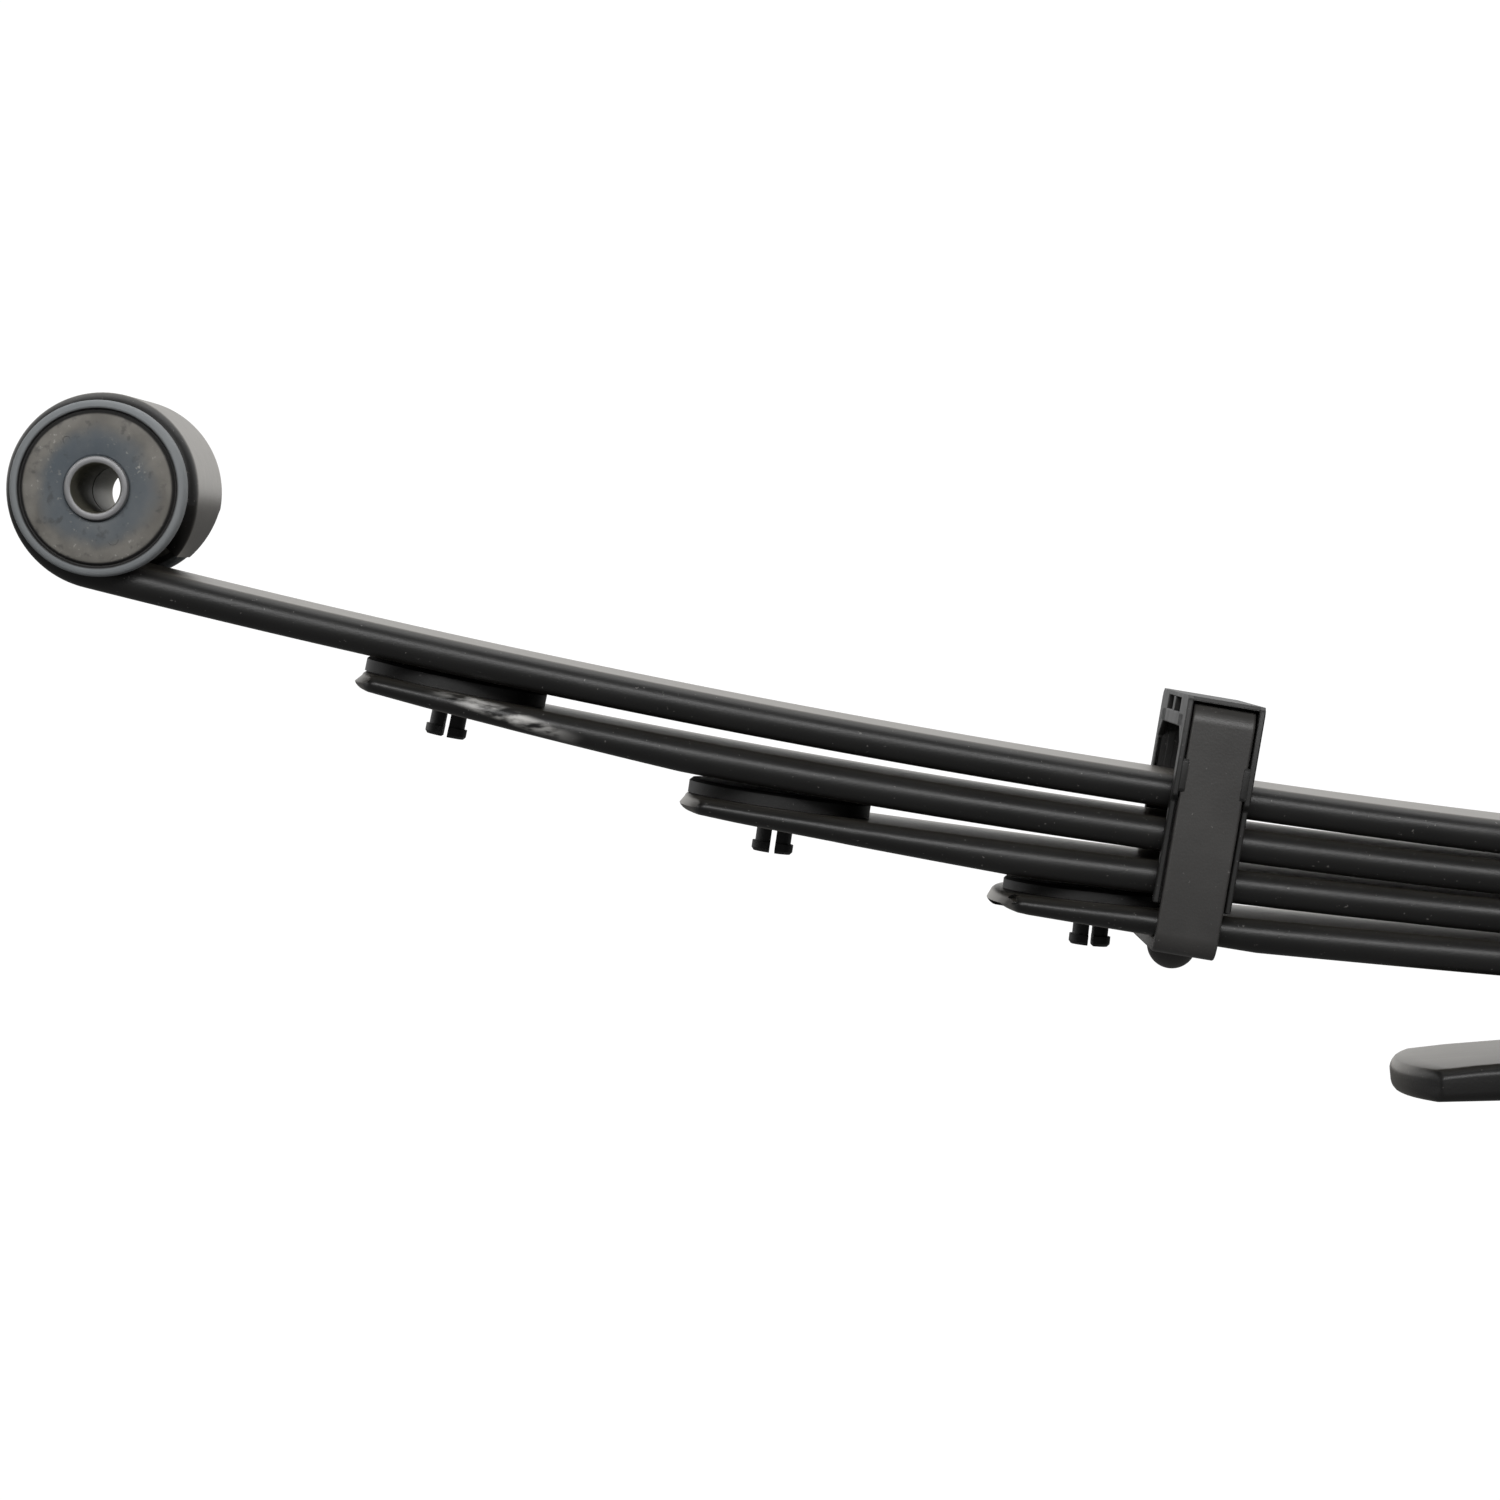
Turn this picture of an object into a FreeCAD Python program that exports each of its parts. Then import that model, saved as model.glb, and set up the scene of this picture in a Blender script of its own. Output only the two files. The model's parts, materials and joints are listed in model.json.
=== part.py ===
import FreeCAD, Part
import math
import os

import Sketcher
from FreeCAD import Placement, Rotation, Vector

# Multi-leaf spring of a light truck: four curved leaves that share the load, a flat
# overload leaf below them, rubber-bushed eyes, tip pads and two rebound clips.
# Millimetres. X runs along the spring (front eye at -X), Y across it, Z up.
# The origin is the centre of the axle seat, on the underside of the overload leaf.

DIMENSIONS = [
    # the bars
    ("leaf_width", 60.0),
    ("leaf_thick", 8.5),
    ("edge_round", 4.0),
    ("overload_thick", 12.0),
    ("overload_edge", 3.0),
    ("seat_half", 45.0),
    # each curved leaf is a flat seat, an inner arc and a flatter or tighter outer arc
    ("arc_break", 345.0),
    ("main_inner_radius", 2385.0),
    ("main_outer_radius", 2900.0),
    ("second_inner_radius", 2633.0),
    ("second_outer_radius", 2827.0),
    ("third_inner_radius", 2853.0),
    ("third_outer_radius", 4556.0),
    ("fourth_inner_radius", 3336.0),
    ("fourth_outer_radius", 8622.0),
    # how far each bar reaches from the centre
    ("eye_reach", 690.0),
    ("second_reach", 629.0),
    ("third_reach", 546.0),
    ("fourth_reach", 467.0),
    ("overload_reach", 363.0),
    # the eyes rolled at the ends of the main leaf
    ("eye_radius", 19.9),
    ("eye_start_radius", 21.2),
    ("eye_end_angle", 45.0),
    ("eye_tab_half", 16.0),
    # the thinned tips
    ("second_taper", 84.0),
    ("third_taper", 84.0),
    ("fourth_taper", 65.0),
    ("overload_taper", 67.0),
    ("tip_thick", 4.2),
    ("overload_tip_thick", 8.2),
    ("overload_droop_angle", 1.3),
    ("overload_bend_radius", 600.0),
    ("tip_plan_radius", 92.0),
    ("tip_bulge", 4.7),
    ("tip_trim", 1.1),
    ("tip_trim_length", 38.0),
    ("overload_plan_radius", 60.0),
    # tip pads
    ("pad_diameter", 47.0),
    ("upper_pad_thick", 3.9),
    ("middle_pad_thick", 3.8),
    ("lower_pad_thick", 3.2),
    ("upper_pad_reach", 603.5),
    ("middle_pad_reach", 520.5),
    ("lower_pad_reach", 439.5),
    ("pad_lift", 0.12),
    ("stub_diameter", 9.2),
    ("stub_hole", 10.0),
    ("stub_length", 12.4),
    ("barb_diameter", 10.6),
    ("barb_height", 2.6),
    ("stub_slot", 1.4),
    # rebound clips
    ("clip_reach", 419.0),
    ("strap_width", 15.8),
    ("strap_thick", 3.3),
    ("strap_bend", 5.25),
    ("strap_rise", 56.9),
    ("strap_side", 32.2),
    ("strap_lip", 23.0),
    ("liner_wall", 1.7),
    ("liner_side", 30.3),
    ("liner_foot", 9.0),
    ("liner_rim", 1.9),
    ("liner_corner", 2.2),
    ("liner_top", 61.5),
    ("liner_window", 18.0),
    ("liner_post", 2.5),
    ("rivet_diameter", 8.0),
    ("rivet_head", 12.6),
    ("rivet_dome", 5.7),
    ("rivet_dome_radius", 6.39),
    ("rivet_cone", 12.0),
    ("rivet_cone_start", 4.4),
    ("rivet_top", 6.7),
    # bushes and inner sleeves
    ("sleeve_bore", 12.2),
    ("sleeve_outer", 16.0),
    ("sleeve_end", 39.0),
    ("sleeve_gap", 0.2),
    ("running_clearance", 0.05),
    ("bush_outer", 31.2),
    ("bush_gap", 0.4),
    ("flange_diameter", 44.0),
    ("flange_start", 30.1),
    ("flange_lip", 36.6),
    ("flange_groove_diameter", 39.0),
    ("flange_groove_floor", 35.2),
    ("flange_face", 36.4),
    ("flange_crown", 37.4),
    # centre bolt
    ("bolt_diameter", 10.0),
    ("bolt_hole", 10.4),
    ("bolt_head", 16.0),
    ("bolt_head_height", 5.5),
    ("bolt_chamfer", 1.0),
    ("head_spot_face", 18.0),
    ("nut_spot_face", 20.4),
    ("spot_face_depth", 0.3),
    ("bolt_top", 57.0),
    ("nut_across_corners", 19.6),
    ("nut_height", 8.0),
]

LEAVES = ("fourth", "third", "second", "main")
ENDS = (("front", -1), ("rear", 1))

os.makedirs("parts", exist_ok=True)
doc = FreeCAD.newDocument("LeafSpring")
sheet = doc.addObject("Spreadsheet::Sheet", "Dims")
for row, (alias, size) in enumerate(DIMENSIONS, start=1):
    sheet.set(f"A{row}", alias)
    sheet.set(f"B{row}", str(size))
    sheet.setAlias(f"B{row}", alias)
doc.recompute()
nodes = []


# ---------------------------------------------------------------- helpers

def value(expression):
    """The number that an expression on the sheet's cells gives."""
    result = sheet.evalExpression(expression)
    return float(getattr(result, "Value", result))


def dim(alias):
    return value("Dims." + alias)


def new_body(label):
    body = doc.addObject("PartDesign::Body", label)
    body.Label = label
    nodes.append(body)
    return body


def new_sketch(body, plane, name, offset=None):
    """A sketch on one of the body's own origin planes, moved by an offset in that plane's frame."""
    sketch = body.newObject("Sketcher::SketchObject", name)
    support = next(f for f in body.Origin.OriginFeatures if f.Role == plane)
    sketch.AttachmentSupport = (support, [""])
    sketch.MapMode = "FlatFace"
    if offset is not None:
        sketch.AttachmentOffset = offset
    return sketch


def bind(sketch, constraint, expression):
    """Adds a dimension to a sketch and ties it to the sheet."""
    index = sketch.addConstraint(Sketcher.Constraint(*constraint, value(expression)))
    sketch.setExpression(f"Constraints[{index}]", expression)


def hold_point(sketch, edge, end, x, y):
    """Places an edge's end at two expressions, measured from the sketch's origin."""
    for direction, axis, expression in (("DistanceX", -2, x), ("DistanceY", -1, y)):
        if expression == "0":
            sketch.addConstraint(Sketcher.Constraint("PointOnObject", edge, end, axis))
        else:
            bind(sketch, (direction, -1, 1, edge, end), expression)


def arc_between(start, end, radius):
    """An arc under half a turn; a positive radius bulges to the right of start to end."""
    chord = end - start
    middle = (start + end) * 0.5
    left = Vector(-chord.y, chord.x, 0).normalize()
    rise = math.sqrt(max(radius ** 2 - (chord.Length / 2) ** 2, 0.0))
    side = 1 if radius > 0 else -1
    centre = middle + left * (rise * side)
    through = centre - left * (abs(radius) * side)
    return Part.Arc(start, through, end).toShape().Curve, start, through, end


def outline(sketch, corners, arcs=None):
    """Draws one closed loop. corners are pairs of expressions, in order. arcs names the edges,
    by the corner they start at, that are arcs: a radius expression and a side, 1 or -1."""
    arcs = arcs or {}
    first = sketch.GeometryCount
    points = [Vector(value(x), value(y), 0) for x, y in corners]
    flipped = {}
    for i, point in enumerate(points):
        after = points[(i + 1) % len(points)]
        if i in arcs:
            expression, side = arcs[i]
            _, start, through, end = arc_between(point, after, side * value(expression))
            sketch.addGeometry(Part.Arc(start, through, end), False)
            flipped[i] = side < 0
        else:
            sketch.addGeometry(Part.LineSegment(point, after), False)
    ends = {}
    for i in range(len(points)):
        ends[i] = (2, 1) if flipped.get(i) else (1, 2)
    for i in range(len(points)):
        after = (i + 1) % len(points)
        sketch.addConstraint(
            Sketcher.Constraint("Coincident", first + i, ends[i][1], first + after, ends[after][0])
        )
    for i, (x, y) in enumerate(corners):
        hold_point(sketch, first + i, ends[i][0], x, y)
    for i, (expression, side) in arcs.items():
        bind(sketch, ("Radius", first + i), expression)


def pad(body, sketch, length, centred=True):
    feature = body.newObject("PartDesign::Pad", "Pad")
    feature.Profile = sketch
    feature.Midplane = centred
    feature.setExpression("Length", length)
    return feature


def cut_through(body, sketch):
    """Cuts a sketch's area right through the body, both ways."""
    feature = body.newObject("PartDesign::Pocket", "Cut")
    feature.Profile = sketch
    feature.Midplane = True
    feature.setExpression("Length", "2 * Dims.eye_reach")
    return feature


def turned(body, sketch):
    """Turns a sketch right round its own vertical axis."""
    feature = body.newObject("PartDesign::Revolution", "Turned")
    feature.Profile = sketch
    feature.ReferenceAxis = (sketch, ["V_Axis"])
    feature.Angle = 360.0
    return feature


def bored(body, sketch):
    """Cuts a hole whose half section is the sketch, round its own vertical axis."""
    feature = body.newObject("PartDesign::Groove", "Bored")
    feature.Profile = sketch
    feature.ReferenceAxis = (sketch, ["V_Axis"])
    feature.Angle = 360.0
    return feature


def mirrored(body, originals, plane):
    feature = body.newObject("PartDesign::Mirrored", "OtherHalf")
    feature.Originals = originals
    feature.MirrorPlane = (next(f for f in body.Origin.OriginFeatures if f.Role == plane), [""])
    body.Tip = feature
    return feature


def piped(body, section, path):
    feature = body.newObject("PartDesign::AdditivePipe", "Bar")
    feature.Profile = section
    feature.Spine = path
    return feature


# ---------------------------------------------------------------- the spring's lines

def seat_level(name):
    """Height of a curved leaf's top face at the centre of the stack."""
    return dim("overload_thick") + dim("leaf_thick") * (LEAVES.index(name) + 1)


def top_line(name, reach):
    """Height of a curved leaf's top face, and its slope in degrees, that far from the centre."""
    inner = dim(f"{name}_inner_radius")
    outer = dim(f"{name}_outer_radius")
    turn = math.asin((dim("arc_break") - dim("seat_half")) / inner)
    if reach < dim("arc_break"):
        angle = math.asin((reach - dim("seat_half")) / inner)
        return seat_level(name) + inner * (1 - math.cos(angle)), math.degrees(angle)
    centre_x = dim("arc_break") - outer * math.sin(turn)
    centre_z = seat_level(name) + inner * (1 - math.cos(turn)) + outer * math.cos(turn)
    angle = math.asin((reach - centre_x) / outer)
    return centre_z - outer * math.cos(angle), math.degrees(angle)


def tip_frame(name):
    """Middle of a leaf's tip and the slope there: where its thinned end is set out."""
    height, slope = top_line(name, dim(f"{name}_reach"))
    angle = math.radians(slope)
    drop = dim("leaf_thick") / 2
    return dim(f"{name}_reach") + drop * math.sin(angle), height - drop * math.cos(angle), slope


def eye_height():
    """Height of the eyes' axis: the eye's first arc runs on from the main leaf's outer arc."""
    inner = dim("main_inner_radius")
    outer = dim("main_outer_radius")
    turn = math.asin((dim("arc_break") - dim("seat_half")) / inner)
    centre_x = dim("arc_break") - outer * math.sin(turn)
    centre_z = seat_level("main") + inner * (1 - math.cos(turn)) + outer * math.cos(turn)
    between = outer + dim("leaf_thick") / 2 - dim("eye_start_radius")
    first_centre = dim("eye_reach") - (dim("eye_start_radius") - dim("eye_radius"))
    angle = math.asin((first_centre - centre_x) / between)
    return centre_z - between * math.cos(angle)


def clip_frame():
    """Where a clip's foot meets the thinned underside of the fourth leaf, and the slope there."""
    x, z, slope = tip_frame("fourth")
    angle = math.radians(slope)
    start_sag = dim("fourth_taper") ** 2 / (2 * dim("fourth_outer_radius"))
    rise = dim("leaf_thick") - dim("tip_thick") - start_sag
    lean = math.atan2(rise, dim("fourth_taper"))
    tip_low = dim("leaf_thick") / 2 - dim("tip_thick")
    foot_x = x - tip_low * math.sin(angle)
    foot_z = z + tip_low * math.cos(angle)
    along = (foot_x - dim("clip_reach")) / math.cos(angle + lean)
    return foot_z - along * math.sin(angle + lean), math.degrees(angle + lean)


def on_slope(side, x, z, slope):
    """A frame on the spring's line at one end: X up the slope, Z square to it."""
    return Placement(Vector(side * x, 0, z), Rotation(Vector(0, 1, 0), -side * slope))


# ---------------------------------------------------------------- leaves

def rounded_section(sketch, middle, height, edge):
    """A bar's section: leaf width by height, rounded at its edges, centred on a level."""
    side = "Dims.leaf_width / 2"
    near = f"{side} - {edge}"
    low = f"{middle} - {height} / 2"
    high = f"{middle} + {height} / 2"
    corners = [
        (f"-({near})", low),
        (near, low),
        (side, f"{low} + {edge}"),
        (side, f"{high} - {edge}"),
        (near, high),
        (f"-({near})", high),
        (f"-({side})", f"{high} - {edge}"),
        (f"-({side})", f"{low} + {edge}"),
    ]
    outline(sketch, corners, {i: (edge, 1) for i in (1, 3, 5, 7)})


def start_path(sketch, middle):
    """The flat of the seat, from the centre plane outwards."""
    line = Part.LineSegment(Vector(0, value(middle), 0), Vector(dim("seat_half"), value(middle), 0))
    sketch.addGeometry(line, False)
    hold_point(sketch, 0, 1, "0", middle)
    sketch.addConstraint(Sketcher.Constraint("Horizontal", 0))
    bind(sketch, ("DistanceX", -1, 1, 0, 2), "Dims.seat_half")


def arc_on(sketch, centre, radius, start, end):
    """Adds an arc that runs on smoothly from the path's last edge. Angles are in degrees."""
    circle = Part.Circle(centre, Vector(0, 0, 1), radius)
    arc = Part.ArcOfCircle(circle, math.radians(start), math.radians(end))
    index = sketch.addGeometry(arc, False)
    sketch.addConstraint(Sketcher.Constraint("Tangent", index - 1, 2, index, 1))
    return index


def curved_path(sketch, name):
    """A curved leaf's middle line, from the centre plane to its tip or to its eye."""
    middle = f"Dims.overload_thick + Dims.leaf_thick * {LEAVES.index(name) + 0.5}"
    start_path(sketch, middle)
    half = dim("leaf_thick") / 2
    inner = dim(f"{name}_inner_radius") + half
    outer = dim(f"{name}_outer_radius") + half
    turn = math.asin((dim("arc_break") - dim("seat_half")) / (inner - half))
    centre = Vector(dim("seat_half"), value(middle) + inner, 0)
    first = arc_on(sketch, centre, inner, -90, -90 + math.degrees(turn))
    bind(sketch, ("Radius", first), f"Dims.{name}_inner_radius + Dims.leaf_thick / 2")
    break_x = f"Dims.arc_break + Dims.leaf_thick / 2 * (Dims.arc_break - Dims.seat_half)"
    bind(sketch, ("DistanceX", -1, 1, first, 2), f"{break_x} / Dims.{name}_inner_radius")
    centre = centre + Vector(math.sin(turn), -math.cos(turn), 0) * (inner - outer)
    if name == "main":
        stop = dim("eye_reach") - dim("eye_start_radius") + dim("eye_radius")
        final = math.asin((stop - centre.x) / (outer - dim("eye_start_radius")))
    else:
        final = math.asin((dim(f"{name}_reach") + dim("tip_bulge") - centre.x) / outer)
    second = arc_on(sketch, centre, outer, math.degrees(turn) - 90, math.degrees(final) - 90)
    bind(sketch, ("Radius", second), f"Dims.{name}_outer_radius + Dims.leaf_thick / 2")
    if name == "main":
        eye_path(sketch, second, math.degrees(final))
    else:
        bind(sketch, ("DistanceX", -1, 1, second, 2), f"Dims.{name}_reach + Dims.tip_bulge")
    return middle


def eye_path(sketch, last, slope):
    """The eye: up the outside on a slightly wider arc, then over the top and down inside."""
    first_centre = Vector(dim("eye_reach") - dim("eye_start_radius") + dim("eye_radius"), eye_height(), 0)
    rise = arc_on(sketch, first_centre, dim("eye_start_radius"), slope - 90, 0)
    bind(sketch, ("Radius", rise), "Dims.eye_start_radius")
    bind(sketch, ("DistanceX", -1, 1, rise, 3), "Dims.eye_reach - Dims.eye_start_radius + Dims.eye_radius")
    centre = Vector(dim("eye_reach"), eye_height(), 0)
    wrap = arc_on(sketch, centre, dim("eye_radius"), 0, 180 + dim("eye_end_angle"))
    bind(sketch, ("Radius", wrap), "Dims.eye_radius")
    sketch.addConstraint(Sketcher.Constraint("Horizontal", rise, 3, wrap, 3))
    end_x = "Dims.eye_reach - Dims.eye_radius * cos(Dims.eye_end_angle * 1 deg)"
    bind(sketch, ("DistanceX", -1, 1, wrap, 2), end_x)


def tip_trim(body, reach, radius, bulge):
    """Trims a tip in plan: sheared sides, then a shallow arc across the end."""
    sketch = new_sketch(body, "XY_Plane", "TipTrim")
    side = "Dims.leaf_width / 2"
    trimmed = f"{side} - Dims.tip_trim"
    start = f"{reach} - Dims.tip_trim_length"
    slant = f"{start} + 8 * Dims.tip_trim"
    beyond = f"{reach} + 3 * Dims.tip_bulge"
    clear = "Dims.leaf_width"
    corners = [
        (start, side),
        (slant, trimmed),
        (f"{reach} - {bulge}", trimmed),
        (f"{reach} - {bulge}", f"-({trimmed})"),
        (slant, f"-({trimmed})"),
        (start, f"-({side})"),
        (start, f"-{clear}"),
        (beyond, f"-{clear}"),
        (beyond, clear),
        (start, clear),
    ]
    outline(sketch, corners, {2: (radius, -1)})
    return cut_through(body, sketch)


def thin_underside(body, name):
    """Thins a leaf's tip from below, evenly along its taper."""
    x, z, slope = tip_frame(name)
    sketch = new_sketch(
        body, "XZ_Plane", "Taper", Placement(Vector(x, z, 0), Rotation(Vector(0, 0, 1), slope))
    )
    sag = f"Dims.{name}_taper ^ 2 / (2 * Dims.{name}_outer_radius)"
    start_low = f"{sag} - Dims.leaf_thick / 2"
    tip_low = "Dims.leaf_thick / 2 - Dims.tip_thick"
    past = "2 * Dims.tip_bulge"
    rate = f"(Dims.leaf_thick - Dims.tip_thick - {sag}) / Dims.{name}_taper"
    corners = [
        (f"-Dims.{name}_taper", start_low),
        (f"-Dims.{name}_taper", "-2 * Dims.leaf_thick"),
        (past, "-2 * Dims.leaf_thick"),
        (past, f"{tip_low} + {past} * {rate}"),
    ]
    outline(sketch, corners)
    return cut_through(body, sketch)


def square_hole(body, x, z, slope, radius, cone=None):
    """A round hole square to a sloping leaf; cone widens it upwards from a level."""
    place = Placement(Vector(x, z, 0), Rotation(Vector(0, 0, 1), slope))
    sketch = new_sketch(body, "XZ_Plane", "Hole", place)
    deep = "2 * Dims.leaf_thick"
    if cone is None:
        corners = [("0", f"-{deep}"), (radius, f"-{deep}"), (radius, deep), ("0", deep)]
    else:
        level, top, wide = cone
        corners = [
            ("0", f"-{deep}"),
            (radius, f"-{deep}"),
            (radius, level),
            (wide, top),
            (wide, deep),
            ("0", deep),
        ]
    outline(sketch, corners)
    return bored(body, sketch)


def centre_hole(body):
    sketch = new_sketch(body, "XY_Plane", "CentreHole")
    sketch.addGeometry(Part.Circle(Vector(0, 0, 0), Vector(0, 0, 1), dim("bolt_hole") / 2), False)
    sketch.addConstraint(Sketcher.Constraint("Coincident", 0, 3, -1, 1))
    bind(sketch, ("Diameter", 0), "Dims.bolt_hole")
    return cut_through(body, sketch)


def spot_face(body, diameter, top):
    """A shallow round recess that seats the centre bolt's head or its nut; top is its upper level."""
    sketch = new_sketch(body, "XY_Plane", "SpotFace")
    sketch.setExpression(".AttachmentOffset.Base.z", top)
    sketch.addGeometry(Part.Circle(Vector(0, 0, 0), Vector(0, 0, 1), value(diameter) / 2), False)
    sketch.addConstraint(Sketcher.Constraint("Coincident", 0, 3, -1, 1))
    bind(sketch, ("Diameter", 0), diameter)
    feature = body.newObject("PartDesign::Pocket", "SpotFaceCut")
    feature.Profile = sketch
    feature.setExpression("Length", "Dims.spot_face_depth")
    return feature


def eye_end_trim(body):
    """Narrows the rolled end of the eye to a tab, from its shoulders to its lip."""
    sketch = new_sketch(body, "YZ_Plane", "EyeEndTrim", Placement(Vector(0, 0, dim("eye_reach")), Rotation()))
    level = f"{eye_height():.6f}"
    shoulder = f"{level} - Dims.eye_radius * 0.22"
    lip = f"{level} - Dims.eye_radius * 0.79"
    outer = "Dims.leaf_width / 2"
    for sign in ("", "-"):
        corners = [
            (f"{sign}({outer} + 1)", shoulder),
            (f"{sign}({outer} - 2)", shoulder),
            (f"{sign}Dims.eye_tab_half", lip),
            (f"{sign}({outer} + 1)", lip),
        ]
        outline(sketch, corners)
    feature = body.newObject("PartDesign::Pocket", "EyeEnd")
    feature.Profile = sketch
    feature.setExpression("Length", "Dims.eye_radius + Dims.leaf_thick")
    return feature


def curved_leaf(name):
    """One of the four curved leaves: half of it is made, then mirrored about the centre."""
    body = new_body(f"{name}_leaf")
    path = new_sketch(body, "XZ_Plane", "MiddleLine")
    middle = curved_path(path, name)
    section = new_sketch(body, "YZ_Plane", "Section")
    rounded_section(section, f"({middle})", "Dims.leaf_thick", "Dims.edge_round")
    features = [piped(body, section, path)]
    if name == "main":
        features.append(eye_end_trim(body))
    else:
        features.append(tip_trim(body, f"Dims.{name}_reach", "Dims.tip_plan_radius", "Dims.tip_bulge"))
        features.append(thin_underside(body, name))
        pad_reach = dim(PAD_UNDER[name] + "_pad_reach")
        height, slope = top_line(name, pad_reach)
        features.append(square_hole(body, pad_reach, height, slope, "Dims.stub_hole / 2"))
    if name == "fourth":
        height, slope = clip_frame()
        cone = ("Dims.rivet_cone_start", "Dims.rivet_top", "Dims.rivet_cone / 2 + 0.1")
        radius = "Dims.rivet_diameter / 2 + 0.05"
        features.append(square_hole(body, dim("clip_reach"), height, slope, radius, cone))
    doc.recompute()
    mirrored(body, features, "YZ_Plane")
    body.Tip = centre_hole(body)
    if name == "main":
        body.Tip = spot_face(body, "Dims.nut_spot_face", "Dims.overload_thick + 4 * Dims.leaf_thick")
    return body


def overload_leaf():
    """The flat leaf below the stack: it droops a little and only works when heavily laden."""
    body = new_body("overload_leaf")
    path = new_sketch(body, "XZ_Plane", "MiddleLine")
    middle = "Dims.overload_thick / 2"
    start_path(path, middle)
    radius = dim("overload_bend_radius")
    droop = dim("overload_droop_angle")
    centre = Vector(dim("seat_half"), value(middle) - radius, 0)
    circle = Part.Circle(centre, Vector(0, 0, 1), radius)
    arc = Part.ArcOfCircle(circle, math.radians(90 - droop), math.radians(90))
    path.addGeometry(arc, False)
    path.addConstraint(Sketcher.Constraint("Tangent", 0, 2, 1, 2))
    bind(path, ("Radius", 1), "Dims.overload_bend_radius")
    bend_x = "Dims.seat_half + Dims.overload_bend_radius * sin(Dims.overload_droop_angle * 1 deg)"
    bind(path, ("DistanceX", -1, 1, 1, 1), bend_x)
    start = centre + Vector(math.sin(math.radians(droop)), math.cos(math.radians(droop)), 0) * radius
    run = dim("overload_reach") + dim("tip_bulge") - start.x
    end = start + Vector(run, -run * math.tan(math.radians(droop)), 0)
    path.addGeometry(Part.LineSegment(start, end), False)
    path.addConstraint(Sketcher.Constraint("Tangent", 1, 1, 2, 1))
    bind(path, ("DistanceX", -1, 1, 2, 2), "Dims.overload_reach + Dims.tip_bulge")
    section = new_sketch(body, "YZ_Plane", "Section")
    rounded_section(section, middle, "Dims.overload_thick", "Dims.overload_edge")
    bar = piped(body, section, path)
    trim = overload_trim(body)
    taper = new_sketch(
        body, "XZ_Plane", "Taper", Placement(Vector(end.x, end.y, 0), Rotation(Vector(0, 0, 1), -droop))
    )
    high = "Dims.overload_thick / 2"
    fall = "(Dims.overload_thick - Dims.overload_tip_thick)"
    corners = [
        ("-Dims.overload_taper", high),
        ("Dims.tip_bulge", f"{high} - {fall} * (1 + Dims.tip_bulge / Dims.overload_taper)"),
        ("Dims.tip_bulge", "2 * Dims.overload_thick"),
        ("-Dims.overload_taper", "2 * Dims.overload_thick"),
    ]
    outline(taper, corners)
    features = [bar, trim, cut_through(body, taper)]
    doc.recompute()
    mirrored(body, features, "YZ_Plane")
    centre_hole(body)
    body.Tip = spot_face(body, "Dims.head_spot_face", "Dims.spot_face_depth")
    return body


def overload_trim(body):
    """Rounds the overload leaf's end in plan, from side to side."""
    sketch = new_sketch(body, "XY_Plane", "TipTrim")
    radius = "Dims.overload_plan_radius"
    side = "Dims.leaf_width / 2"
    clear = "Dims.leaf_width"
    bulge = f"({radius} - sqrt({radius} ^ 2 - ({side}) ^ 2))"
    shoulder = f"Dims.overload_reach - {bulge}"
    beyond = "Dims.overload_reach + 3 * Dims.tip_bulge"
    corners = [
        (shoulder, side),
        (shoulder, f"-{side}"),
        (shoulder, f"-{clear}"),
        (beyond, f"-{clear}"),
        (beyond, clear),
        (shoulder, clear),
    ]
    outline(sketch, corners, {0: (radius, -1)})
    return cut_through(body, sketch)


PAD_UNDER = {"second": "upper", "third": "middle", "fourth": "lower"}


def tip_pad(end, side, leaf):
    """A plastic disc between two leaves, with a split barbed stub through the lower leaf's tip."""
    which = PAD_UNDER[leaf]
    body = new_body(f"{end}_{which}_tip_pad")
    sketch = new_sketch(body, "XZ_Plane", "HalfSection")
    low = "Dims.pad_lift"
    high = f"Dims.pad_lift + Dims.{which}_pad_thick"
    disc = "Dims.pad_diameter / 2"
    shank = "Dims.stub_diameter / 2"
    barb = "Dims.barb_diameter / 2"
    corners = [
        ("0", "-Dims.stub_length"),
        (f"{barb} - 0.6", "-Dims.stub_length"),
        (barb, "0.7 - Dims.stub_length"),
        (barb, "Dims.barb_height - Dims.stub_length"),
        (shank, "Dims.barb_height - Dims.stub_length"),
        (shank, low),
        (disc, low),
        (disc, f"{high} - 0.8"),
        (f"{disc} - 0.8", high),
        ("0", high),
    ]
    outline(sketch, corners)
    turned(body, sketch)
    slot = new_sketch(body, "XZ_Plane", "Slot")
    half = "Dims.stub_slot / 2"
    floor = "-1.2 * Dims.barb_height"
    deep = "-1.2 * Dims.stub_length"
    outline(slot, [(f"-{half}", deep), (half, deep), (half, floor), (f"-{half}", floor)])
    body.Tip = cut_through(body, slot)
    reach = dim(which + "_pad_reach")
    height, slope = top_line(leaf, reach)
    body.Placement = on_slope(side, reach, height, slope)
    return body


# ---------------------------------------------------------------- rebound clips

def clip_place(side):
    height, slope = clip_frame()
    return on_slope(side, dim("clip_reach"), height, slope)


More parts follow.
